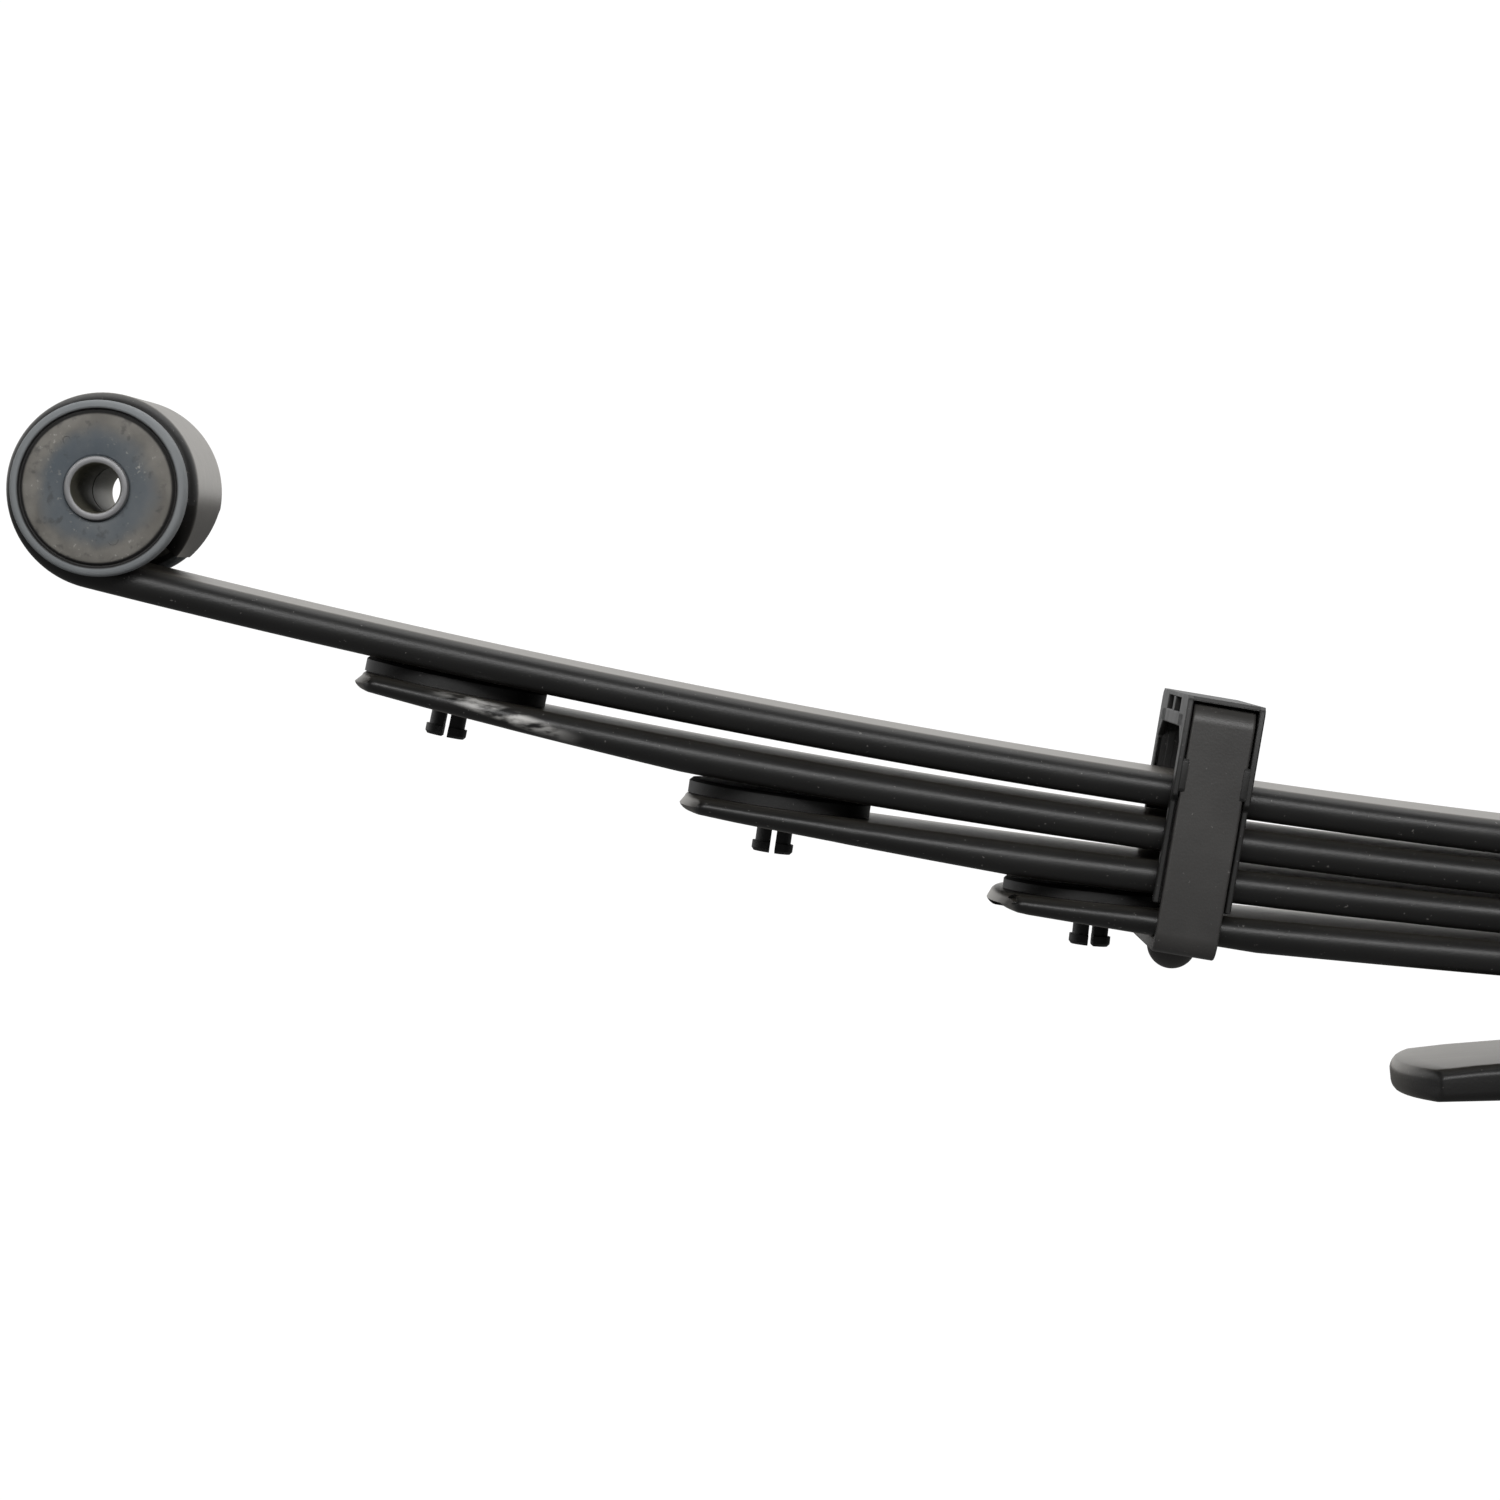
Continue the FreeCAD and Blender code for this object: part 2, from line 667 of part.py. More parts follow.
def clip_strap(end, side):
    """A flat steel strap: under the leaves, up both sides, with its ends turned in on top."""
    body = new_body(f"{end}_clip_strap")
    path = new_sketch(body, "YZ_Plane", "MiddleLine")
    half = dim("strap_thick") / 2
    wide = dim("strap_side") + half
    bend = dim("strap_bend") - half
    low = -half
    high = dim("strap_rise") + half
    path.addGeometry(Part.LineSegment(Vector(0, low, 0), Vector(wide - bend, low, 0)), False)
    hold_point(path, 0, 1, "0", "-Dims.strap_thick / 2")
    path.addConstraint(Sketcher.Constraint("Horizontal", 0))
    arc_on(path, Vector(wide - bend, low + bend, 0), bend, -90, 0)
    path.addGeometry(Part.LineSegment(Vector(wide, low + bend, 0), Vector(wide, high - bend, 0)), False)
    path.addConstraint(Sketcher.Constraint("Tangent", 1, 2, 2, 1))
    path.addConstraint(Sketcher.Constraint("Vertical", 2))
    arc_on(path, Vector(wide - bend, high - bend, 0), bend, 0, 90)
    path.addGeometry(Part.LineSegment(Vector(wide - bend, high, 0), Vector(dim("strap_lip"), high, 0)), False)
    path.addConstraint(Sketcher.Constraint("Tangent", 3, 2, 4, 1))
    path.addConstraint(Sketcher.Constraint("Horizontal", 4))
    for arc in (1, 3):
        bind(path, ("Radius", arc), "Dims.strap_bend - Dims.strap_thick / 2")
    bind(path, ("DistanceX", -1, 1, 2, 1), "Dims.strap_side + Dims.strap_thick / 2")
    bind(path, ("DistanceY", -1, 1, 4, 1), "Dims.strap_rise + Dims.strap_thick / 2")
    bind(path, ("DistanceX", -1, 1, 4, 2), "Dims.strap_lip")
    section = new_sketch(body, "XZ_Plane", "Section")
    across = "Dims.strap_width / 2"
    corners = [
        (f"-{across}", "-Dims.strap_thick"),
        (across, "-Dims.strap_thick"),
        (across, "0"),
        (f"-{across}", "0"),
    ]
    outline(section, corners)
    bar = piped(body, section, path)
    hole = square_hole(body, 0, 0, 0, "Dims.rivet_diameter / 2 + 0.05")
    doc.recompute()
    mirrored(body, [bar, hole], "XZ_Plane")
    body.Placement = clip_place(side)
    return body


def arch(sketch, inner, outer, inner_top, outer_top):
    """Section of an upside-down U: two legs and a bridge, rounded at its outer corners."""
    foot = "Dims.liner_foot"
    corner = "Dims.liner_corner"
    corners = [
        (f"-({outer})", foot),
        (f"-({inner})", foot),
        (f"-({inner})", inner_top),
        (inner, inner_top),
        (inner, foot),
        (outer, foot),
        (outer, f"{outer_top} - {corner}"),
        (f"{outer} - {corner}", outer_top),
        (f"{corner} - ({outer})", outer_top),
        (f"-({outer})", f"{outer_top} - {corner}"),
    ]
    outline(sketch, corners, {6: (corner, 1), 8: (corner, 1)})


def clip_liner(end, side):
    """The plastic liner: walls between strap and leaves, a bridge under the strap's ends,
    rims that hold the strap on both edges, and a top plate over its ends with a window below."""
    body = new_body(f"{end}_clip_liner")
    wall = new_sketch(body, "YZ_Plane", "Wall")
    outer = "Dims.liner_side + Dims.liner_wall"
    under = "Dims.strap_rise - 0.2"
    arch(wall, "Dims.liner_side", outer, f"{under} - Dims.liner_wall", under)
    pad(body, wall, "Dims.strap_width + 2 * Dims.liner_rim")
    rim_place = Placement(Vector(0, 0, dim("strap_width") / 2 + 0.1), Rotation())
    rim = new_sketch(body, "YZ_Plane", "Rim", rim_place)
    arch(
        rim,
        "Dims.liner_side",
        "Dims.strap_side + Dims.strap_thick + 0.5",
        f"{under} - Dims.liner_wall",
        "Dims.liner_top",
    )
    rim_pad = pad(body, rim, "Dims.liner_rim - 0.1", centred=False)
    doc.recompute()
    mirrored(body, [rim_pad], "YZ_Plane")
    plate = new_sketch(body, "YZ_Plane", "TopPlate")
    strap_top = "Dims.strap_rise + Dims.strap_thick + 0.1"
    end = "Dims.strap_side + Dims.strap_thick - Dims.liner_corner"
    corners = [
        (f"-({end})", strap_top),
        (end, strap_top),
        (end, "Dims.liner_top"),
        (f"-({end})", "Dims.liner_top"),
    ]
    outline(plate, corners)
    pad(body, plate, "Dims.strap_width + 2 * Dims.liner_rim")
    windows = new_sketch(body, "YZ_Plane", "Windows")
    for hand in ("", "-"):
        near = f"{hand}Dims.liner_post"
        far = f"{hand}Dims.liner_window"
        outline(windows, [(near, under), (far, under), (far, strap_top), (near, strap_top)])
    body.Tip = cut_through(body, windows)
    body.Placement = clip_place(side)
    return body


def clip_rivet(end, side):
    """Holds the strap to the fourth leaf: a domed head below, a countersunk head above."""
    body = new_body(f"{end}_clip_rivet")
    sketch = new_sketch(body, "XZ_Plane", "HalfSection")
    shank = "Dims.rivet_diameter / 2"
    corners = [
        ("0", "-Dims.strap_thick - Dims.rivet_dome"),
        ("Dims.rivet_head / 2", "-Dims.strap_thick - 0.4"),
        ("Dims.rivet_head / 2", "-Dims.strap_thick"),
        (shank, "-Dims.strap_thick"),
        (shank, "Dims.rivet_cone_start"),
        ("Dims.rivet_cone / 2", "Dims.rivet_top"),
        ("0", "Dims.rivet_top"),
    ]
    outline(sketch, corners, {0: ("Dims.rivet_dome_radius", 1)})
    body.Tip = turned(body, sketch)
    body.Placement = clip_place(side)
    return body


# ---------------------------------------------------------------- eye bushes

def eye_place(side, hand):
    """The frame of one bush half: Z points out of the eye on that hand."""
    turn = Rotation(Vector(1, 0, 0), -90 * hand)
    return Placement(Vector(side * dim("eye_reach"), 0, eye_height()), turn)


def bush(end, side, name, hand):
    """Half of an eye's rubber bush: a plug pressed into the eye and a flange that seals its side."""
    body = new_body(f"{end}_{name}_bush")
    sketch = new_sketch(body, "XZ_Plane", "HalfSection")
    bore = "Dims.sleeve_outer / 2 + Dims.running_clearance"
    plug = "Dims.bush_outer / 2"
    rim = "Dims.flange_diameter / 2"
    groove = "Dims.flange_groove_diameter / 2"
    corners = [
        (bore, "Dims.bush_gap"),
        (f"{plug} - 0.8", "Dims.bush_gap"),
        (plug, "Dims.bush_gap + 0.8"),
        (plug, "Dims.flange_start"),
        (rim, "Dims.flange_start"),
        (rim, "Dims.flange_lip - 1"),
        (f"{rim} - 1", "Dims.flange_lip"),
        (groove, "Dims.flange_lip"),
        (groove, "Dims.flange_groove_floor"),
        (f"{groove} - 0.8", "Dims.flange_groove_floor"),
        (f"{groove} - 0.8", "Dims.flange_face"),
        (f"{bore} + 1", "Dims.flange_crown"),
        (bore, "Dims.flange_crown"),
    ]
    outline(sketch, corners)
    body.Tip = turned(body, sketch)
    body.Placement = eye_place(side, hand)
    return body


def inner_sleeve(end, side, name, hand):
    """Half of the steel tube that the frame bolt clamps; it turns inside the rubber."""
    body = new_body(f"{end}_{name}_inner_sleeve")
    sketch = new_sketch(body, "XZ_Plane", "HalfSection")
    bore = "Dims.sleeve_bore / 2"
    outer = "Dims.sleeve_outer / 2"
    corners = [
        (bore, "Dims.sleeve_gap"),
        (outer, "Dims.sleeve_gap"),
        (outer, "Dims.sleeve_end - 0.5"),
        (f"{outer} - 0.5", "Dims.sleeve_end"),
        (bore, "Dims.sleeve_end"),
    ]
    outline(sketch, corners)
    body.Tip = turned(body, sketch)
    body.Placement = eye_place(side, hand)
    return body


# ---------------------------------------------------------------- centre bolt

def centre_bolt():
    """Keeps the leaves in line; its round head locates the spring in the axle's seat."""
    body = new_body("centre_bolt")
    sketch = new_sketch(body, "XZ_Plane", "HalfSection")
    head = "Dims.bolt_head / 2"
    shank = "Dims.bolt_diameter / 2"
    edge = "Dims.bolt_chamfer"
    corners = [
        ("0", "-Dims.bolt_head_height"),
        (f"{head} - {edge}", "-Dims.bolt_head_height"),
        (head, f"{edge} - Dims.bolt_head_height"),
        (head, "Dims.spot_face_depth"),
        (shank, "Dims.spot_face_depth"),
        (shank, f"Dims.bolt_top - {edge}"),
        (f"{shank} - {edge}", "Dims.bolt_top"),
        ("0", "Dims.bolt_top"),
    ]
    outline(sketch, corners)
    body.Tip = turned(body, sketch)
    return body


def centre_nut():
    """A hexagon nut with turned corners, tight against the main leaf."""
    hexagon = doc.addObject("Part::Prism", "NutHexagon")
    hexagon.Polygon = 6
    hexagon.setExpression("Circumradius", "Dims.nut_across_corners / 2")
    hexagon.setExpression("Height", "Dims.nut_height")
    cone = doc.addObject("Part::Cone", "NutTurnedCorners")
    cone.setExpression("Radius1", "Dims.nut_across_corners / 2 + Dims.nut_height")
    cone.setExpression("Radius2", "Dims.nut_across_corners / 2 - 1")
    cone.setExpression("Height", "Dims.nut_height")
    blank = doc.addObject("Part::Common", "NutBlank")
    blank.Base = hexagon
    blank.Tool = cone
    thread = doc.addObject("Part::Cylinder", "NutThread")
    thread.setExpression("Radius", "Dims.bolt_diameter / 2")
    thread.setExpression("Height", "Dims.nut_height")
    nut = doc.addObject("Part::Cut", "centre_nut")
    nut.Base = blank
    nut.Tool = thread
    nut.Label = "centre_nut"
    nut.Placement = Placement(Vector(0, 0, seat_level("main") - dim("spot_face_depth")), Rotation())
    nodes.append(nut)
    return nut


# ---------------------------------------------------------------- build, check and write

for leaf_name in reversed(LEAVES):
    curved_leaf(leaf_name)
overload_leaf()
centre_bolt()
centre_nut()
for end_name, end_side in ENDS:
    for leaf_name in PAD_UNDER:
        tip_pad(end_name, end_side, leaf_name)
    clip_strap(end_name, end_side)
    clip_liner(end_name, end_side)
    clip_rivet(end_name, end_side)
    for hand_name, hand_side in (("left", -1), ("right", 1)):
        bush(end_name, end_side, hand_name, hand_side)
        inner_sleeve(end_name, end_side, hand_name, hand_side)
doc.recompute()

for item in doc.Objects:
    if {"Invalid", "Error"} & set(item.State):
        raise RuntimeError(f"{item.Name} ({item.Label}) failed: {item.State}")
for node in nodes:
    shape = node.Shape
    if shape.isNull() or not shape.isValid() or not shape.Solids:
        raise RuntimeError(f"{node.Label} has no valid solid")
    shape.exportStep(f"parts/{node.Label}.step")
    box = shape.BoundBox
    print(
        f"{node.Label:28s} solids {len(shape.Solids)} volume {shape.Volume / 1000:9.2f} cm3 "
        f"x {box.XMin:8.2f} {box.XMax:8.2f} y {box.YMin:7.2f} {box.YMax:7.2f} z {box.ZMin:7.2f} {box.ZMax:7.2f}"
    )
print("eye axis height", round(eye_height(), 3), "clip foot", clip_frame())
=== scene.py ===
import json
import math

import bpy
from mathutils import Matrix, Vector


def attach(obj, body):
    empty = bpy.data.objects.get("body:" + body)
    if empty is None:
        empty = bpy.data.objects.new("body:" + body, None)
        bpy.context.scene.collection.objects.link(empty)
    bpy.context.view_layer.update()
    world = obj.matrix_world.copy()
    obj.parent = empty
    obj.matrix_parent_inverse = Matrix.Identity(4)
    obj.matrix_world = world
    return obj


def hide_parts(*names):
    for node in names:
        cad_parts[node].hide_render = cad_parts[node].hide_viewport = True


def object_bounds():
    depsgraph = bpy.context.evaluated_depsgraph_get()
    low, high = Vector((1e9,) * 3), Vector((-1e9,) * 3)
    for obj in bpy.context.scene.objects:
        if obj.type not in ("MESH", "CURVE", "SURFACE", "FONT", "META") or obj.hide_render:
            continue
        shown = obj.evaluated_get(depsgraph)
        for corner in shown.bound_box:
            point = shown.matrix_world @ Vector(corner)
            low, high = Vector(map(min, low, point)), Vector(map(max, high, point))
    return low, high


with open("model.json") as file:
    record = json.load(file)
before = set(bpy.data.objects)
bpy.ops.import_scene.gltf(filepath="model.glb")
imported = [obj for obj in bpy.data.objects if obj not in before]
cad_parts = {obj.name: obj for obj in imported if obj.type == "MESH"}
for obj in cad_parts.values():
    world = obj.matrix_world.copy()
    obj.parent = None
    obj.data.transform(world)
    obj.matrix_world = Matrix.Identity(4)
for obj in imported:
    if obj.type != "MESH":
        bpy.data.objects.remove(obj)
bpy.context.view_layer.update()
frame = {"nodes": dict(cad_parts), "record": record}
nodes = frame["nodes"]

# The spring's own measures, in metres. +X is the rear, -Y the near side, Z up.
MM = 0.001
mounts = {m["name"]: m for m in frame["record"]["mounts"]}
FRONT_EYE = Vector(mounts["front_eye_bolt"]["pos_m"])
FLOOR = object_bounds()[0].z
ENDS = (("front", -1), ("rear", 1))
WIDE = 60 * MM
THICK = 8.5 * MM
EDGE_ROUND = 4.0 * MM
SEAT_HALF = 45 * MM
ARC_BREAK = 345 * MM
# level of the top at the seat, inner and outer arc radius, reach, taper length
LEAVES = {
    "main_leaf": (46.0, 2385, 2900, 0, 0),
    "second_leaf": (37.5, 2633, 2827, 629, 84),
    "third_leaf": (29.0, 2853, 4556, 546, 84),
    "fourth_leaf": (20.5, 3336, 8622, 467, 65),
}
TIP_THICK = 4.2 * MM
TIP_PLAN_RADIUS = 92 * MM
# steps of a rolled nose: how far out in mm, then the share kept of its width and thickness
NOSE = ((0.55, 0.997, 0.93), (0.5, 0.993, 0.84), (0.4, 0.988, 0.74), (0.25, 0.982, 0.6))
NOSE_LENGTH = sum(out for out, _, _ in NOSE) * MM
# how far a tip is set back for its square end: this many tip thicknesses, times its slope
TIP_SETBACK = 2.15
TIP_TRIM = 1.1 * MM
TIP_TRIM_LENGTH = 38 * MM
EYE_REACH = 690 * MM
EYE_RADIUS = 19.9 * MM
EYE_START_RADIUS = 21.2 * MM
EYE_END = math.radians(225)
TAB_START = math.radians(192.7)
TAB_HALF = 16 * MM


# ---------------------------------------------------------------- finishes

class Wire:
    """A socket in a finish's node tree. Sums on wires become Math nodes."""

    def __init__(self, finish, socket):
        self.finish = finish
        self.socket = socket

    def math(self, operation, first, second):
        return self.finish.node("ShaderNodeMath", {"operation": operation}, {0: first, 1: second})

    def __add__(self, other):
        return self.math("ADD", self, other)

    def __sub__(self, other):
        return self.math("SUBTRACT", self, other)

    def __mul__(self, other):
        return self.math("MULTIPLY", self, other)

    def __pow__(self, other):
        return self.math("POWER", self, other)

    def clip(self):
        return self.finish.node("ShaderNodeClamp", {}, {"Value": self})

    def apart(self, other):
        return self.math("ABSOLUTE", self - other, 0.0)

    __radd__ = __add__
    __rmul__ = __mul__


class Finish:
    """A material, its nodes, and the shader that they end in."""

    def __init__(self, name, **constants):
        self.material = bpy.data.materials.new(name)
        self.material.use_nodes = True
        self.tree = self.material.node_tree
        self.shader = next(n for n in self.tree.nodes if n.type == "BSDF_PRINCIPLED")
        self.place = self.node("ShaderNodeTexCoord", {}, {}, "Object")
        for socket, constant in constants.items():
            self.shader.inputs[socket.replace("_", " ")].default_value = constant

    def node(self, kind, settings, inputs, output=0):
        """Adds a node: its settings first, then its sockets' values or links."""
        node = self.tree.nodes.new(kind)
        for name, setting in settings.items():
            if name == "stops":
                self.set_stops(node.color_ramp, setting)
            else:
                setattr(node, name, setting)
        for key, value in inputs.items():
            if isinstance(value, Wire):
                self.tree.links.new(value.socket, node.inputs[key])
            else:
                node.inputs[key].default_value = value
        return Wire(self, node.outputs[output])

    def set_stops(self, ramp, stops):
        while len(ramp.elements) < len(stops):
            ramp.elements.new(1.0)
        for element, (position, colour) in zip(ramp.elements, stops):
            element.position = position
            element.color = (*colour, 1.0)

    def noise(self, scale, detail=3.0, stretch=(1, 1, 1), roughness=0.5):
        """Cloudy noise from 0 to 1; scale is in cells per metre."""
        place = self.node("ShaderNodeMapping", {}, {"Vector": self.place, "Scale": stretch})
        values = {"Vector": place, "Scale": scale, "Detail": detail, "Roughness": roughness}
        return self.node("ShaderNodeTexNoise", {}, values)

    def ramp(self, value, low, high):
        """0 below low, 1 above high, smooth between."""
        settings = {"interpolation_type": "SMOOTHSTEP"}
        return self.node("ShaderNodeMapRange", settings, {"Value": value, "From Min": low, "From Max": high})

    def mix(self, share, first, second):
        inputs = {0: share, 6: self.colour(first), 7: self.colour(second)}
        return self.node("ShaderNodeMix", {"data_type": "RGBA"}, inputs, 2)

    def colour(self, value):
        return value if isinstance(value, Wire) else (*value, 1.0)

    def feed(self, socket, wire):
        self.tree.links.new(wire.socket, self.shader.inputs[socket])

    def axes(self):
        """The X, Y and Z wires of the place on the piece."""
        parts = self.node("ShaderNodeSeparateXYZ", {}, {0: self.place})
        rest = [Wire(self, parts.socket.node.outputs[i]) for i in (1, 2)]
        return [parts] + rest

    def from_eye(self):
        """The distance from the nearer eye's axis."""
        x, _, z = self.axes()
        across = x.apart(0.0) - EYE_REACH
        rise = z - FRONT_EYE.z
        return (across * across + rise * rise) ** 0.5

    def facing(self):
        """The X, Y and Z wires of the way the surface faces."""
        normal = self.node("ShaderNodeTexCoord", {}, {}, "Normal")
        parts = self.node("ShaderNodeSeparateXYZ", {}, {0: normal})
        rest = [Wire(self, parts.socket.node.outputs[i]) for i in (1, 2)]
        return [parts] + rest

    def bump(self, height, strength, distance):
        values = {"Height": height, "Strength": strength, "Distance": distance}
        self.feed("Normal", self.node("ShaderNodeBump", {}, values))


def satin_paint(name, tone=1.0, coat=0.75):
    """Black chassis paint over shot-peened steel, dusty on top, with a gloss on its broad faces."""
    finish = Finish(name, Specular_IOR_Level=0.5, Coat_Roughness=0.3, Coat_Tint=(1.0, 0.93, 0.82, 1.0))
    up = finish.facing()[2]
    cloud = finish.noise(45, 5)
    grain = finish.noise(1500, 2)
    speck = finish.ramp(finish.noise(900, 2), 0.69, 0.76)
    streak = finish.noise(260, 4, (0.12, 1, 1))
    dust = finish.ramp(up, 0.55, 0.98) * (0.6 + 0.4 * cloud)
    deep = [tone * part for part in (0.0053, 0.0051, 0.005)]
    worn = [tone * part for part in (0.012, 0.0115, 0.0109)]
    black = finish.mix(cloud, deep, worn)
    dusty = finish.mix((0.3 * dust).clip(), black, (0.11, 0.104, 0.092))
    specked = finish.mix((0.5 * speck).clip(), dusty, (0.22, 0.21, 0.2))
    finish.feed("Base Color", specked)
    broad = finish.ramp(finish.facing()[1].apart(0.0), 0.5, 0.12)
    finish.feed("Coat Weight", (coat * broad * (0.6 + 0.4 * cloud)).clip())
    finish.feed("Roughness", (0.30 + 0.12 * cloud + 0.10 * streak + 0.12 * dust).clip())
    finish.bump(0.55 * grain + 0.3 * streak + 0.3 * finish.noise(350, 3), 0.28, 0.00022)
    return finish


SCRAPE_X = -590 * MM
SCRAPE_Z = 91.1 * MM
SCRAPE_SLOPE = 0.36


def leaf_paint():
    """The leaves' paint, with the bright scrape on the second leaf's near side by its tip pad."""
    finish = satin_paint("satin_black_leaf_paint")
    x, y, z = finish.axes()
    side = finish.ramp(y, -0.0255, -0.0275)
    along = finish.ramp(x.apart(SCRAPE_X), 0.022, 0.004)
    level = z - SCRAPE_Z + SCRAPE_SLOPE * (x - SCRAPE_X)
    band = finish.ramp(level.apart(0.0), 0.0024, 0.0006)
    rough = finish.ramp(finish.noise(420, 4, (0.3, 1, 1)), 0.38, 0.6)
    scrape = side * along * band * rough
    shader = finish.shader
    before = Wire(finish, shader.inputs["Base Color"].links[0].from_socket)
    finish.feed("Base Color", finish.mix(scrape.clip(), before, (0.55, 0.54, 0.52)))
    return finish.material


def clip_paint():
    return satin_paint("satin_black_clip_paint", 6.0, 0.2).material


def bolt_paint():
    return satin_paint("phosphated_bolt_steel", 1.8).material


def dull_rubber():
    """Grey bloomed rubber: bluish by the sleeve, brownish outside, scuffed in places, with painted shade
    darkening the groove round its face.
    """
    finish = Finish("grey_bloomed_rubber", Specular_IOR_Level=0.35)
    away = finish.from_eye()
    cloud = finish.noise(140, 6)
    fine = finish.noise(900, 3)
    smear = finish.noise(70, 4, (1, 1, 0.6))
    inner = finish.mix(finish.ramp(smear, 0.3, 0.75), (0.085, 0.102, 0.118), (0.15, 0.16, 0.165))
    outer = finish.mix(finish.ramp(cloud, 0.3, 0.7), (0.14, 0.132, 0.118), (0.215, 0.205, 0.185))
    reach = finish.ramp(away + 0.006 * (cloud - 0.5), 0.0115, 0.0165)
    face = finish.mix(reach, inner, outer)
    scuff = finish.ramp(fine, 0.6, 0.72) * finish.ramp(cloud, 0.45, 0.65)
    marked = finish.mix((0.65 * scuff).clip(), face, (0.42, 0.41, 0.38))
    grime = finish.ramp(finish.noise(320, 5), 0.56, 0.7)
    marked = finish.mix((0.5 * grime).clip(), marked, (0.05, 0.05, 0.05))
    # painted shade: the groove round the face is darkened to near black, standing in for the shade in that
    # recess
    groove = finish.ramp(away.apart(0.0193), 0.0011, 0.00045)
    rim = finish.ramp(away, 0.0196, 0.0202)
    lip = finish.mix(rim, marked, finish.mix(smear, (0.17, 0.185, 0.195), (0.27, 0.28, 0.285)))
    finish.feed("Base Color", finish.mix((0.9 * groove).clip(), lip, (0.012, 0.012, 0.013)))
    finish.feed("Roughness", (0.55 + 0.25 * cloud).clip())
    finish.bump(0.6 * finish.noise(2600, 2) + 0.6 * fine, 0.3, 0.00012)
    return finish.material


def moulded_plastic(name, low, high):
    finish = Finish(name, Specular_IOR_Level=0.45)
    cloud = finish.noise(110, 4)
    fleck = finish.ramp(finish.noise(1100, 2), 0.68, 0.75)
    colour = finish.mix(cloud, low, high)
    finish.feed("Base Color", finish.mix((0.4 * fleck).clip(), colour, (0.16, 0.155, 0.15)))
    finish.feed("Roughness", (0.38 + 0.2 * cloud).clip())
    finish.bump(finish.noise(1800, 2), 0.2, 0.00012)
    return finish.material


def sleeve_steel():
    """Grey rolled steel tube with an olive cast in its bore."""
    finish = Finish("rolled_sleeve_steel", Metallic=0.55)
    away = finish.from_eye()
    cloud = finish.noise(160, 5)
    bore = finish.ramp(away, 0.0066, 0.0061)
    end = finish.mix(cloud, (0.2, 0.2, 0.205), (0.34, 0.34, 0.345))
    inside = finish.mix(cloud, (0.11, 0.105, 0.075), (0.25, 0.24, 0.2))
    finish.feed("Base Color", finish.mix(bore, end, inside))
    finish.feed("Roughness", (0.42 + 0.2 * cloud).clip())
    finish.bump(finish.noise(3000, 1), 0.15, 0.0001)
    return finish.material


FINISHES = {
    "leaf_paint": leaf_paint(),
    "clip_paint": clip_paint(),
    "bolt_steel": bolt_paint(),
    "bush_rubber": dull_rubber(),
    "sleeve_steel": sleeve_steel(),
    "pad_plastic": moulded_plastic("moulded_pad_plastic", (0.006, 0.006, 0.006), (0.012, 0.012, 0.012)),
    "liner_plastic": moulded_plastic("moulded_liner_plastic", (0.009, 0.009, 0.009), (0.02, 0.0195, 0.0185)),
}
for part in frame["record"]["subparts"]:
    piece = nodes[part["node"]]
    piece.data.materials.clear()
    piece.data.materials.append(FINISHES[part["material_slot"]])


# ---------------------------------------------------------------- modelling

def select(piece, kind, test):
    """In edit mode, selects the vertices whose place, or the faces whose middle, passes a test."""
    bpy.ops.object.mode_set(mode="EDIT")
    bpy.ops.mesh.select_mode(type=kind)
    bpy.ops.mesh.select_all(action="DESELECT")
    bpy.ops.object.mode_set(mode="OBJECT")
    mesh = piece.data
    if kind == "VERT":
        for vertex in mesh.vertices:
            vertex.select = test(vertex.co)
    else:
        for face in mesh.polygons:
            face.select = test(face.center)
    bpy.ops.object.mode_set(mode="EDIT")


def begin(name):
    """Names the new primitive and puts its place in its mesh."""
    piece = bpy.context.object
    piece.name = name
    piece.data.name = name
    bpy.ops.object.transform_apply(location=True, rotation=True, scale=True)
    return piece


def move_on(step):
    bpy.ops.mesh.extrude_region_move(TRANSFORM_OT_translate={"value": step})


def finish_mesh(piece, angle=35, merge=0.01 * MM):
    """Closes the mesh, turns its faces outwards and smooths it up to an angle."""
    bpy.ops.object.mode_set(mode="EDIT")
    bpy.ops.mesh.select_all(action="SELECT")
    bpy.ops.mesh.remove_doubles(threshold=merge)
    bpy.ops.mesh.normals_make_consistent(inside=False)
    bpy.ops.object.mode_set(mode="OBJECT")
    bpy.ops.object.shade_smooth_by_angle(angle=math.radians(angle))
    return piece


def apply(piece, kind, **settings):
    modifier = piece.modifiers.new(kind.lower(), kind)
    for name, setting in settings.items():
        setattr(modifier, name, setting)
    bpy.context.view_layer.objects.active = piece
    bpy.ops.object.modifier_apply(modifier=modifier.name)


def chain(name, points):
    """A line of vertices through points, grown from one corner of a plane."""
    bpy.ops.object.select_all(action="DESELECT")
    bpy.ops.mesh.primitive_plane_add(size=1, location=(0, 0, 0))
    piece = begin(name)
    corner = piece.data.vertices[0].co.copy()
    select(piece, "VERT", lambda co: (co - corner).length > 0.1)
    bpy.ops.mesh.delete(type="VERT")
    bpy.ops.mesh.select_all(action="SELECT")
    bpy.ops.transform.translate(value=Vector(points[0]) - corner)
    for before, after in zip(points, points[1:]):
        move_on(Vector(after) - Vector(before))
    return piece


def cut_plate(name, outline, start, depth, bevel):
    """A plate of one outline in Y and Z, as thick as depth along X, its edges broken."""
    piece = chain(name, [(start, y, z) for y, z in outline])
    bpy.ops.mesh.select_all(action="SELECT")
    bpy.ops.mesh.edge_face_add()
    move_on((depth, 0, 0))
    finish_mesh(piece)
    apply(piece, "BEVEL", width=bevel, segments=2, limit_method="ANGLE", angle_limit=math.radians(30))
    return finish_mesh(piece)


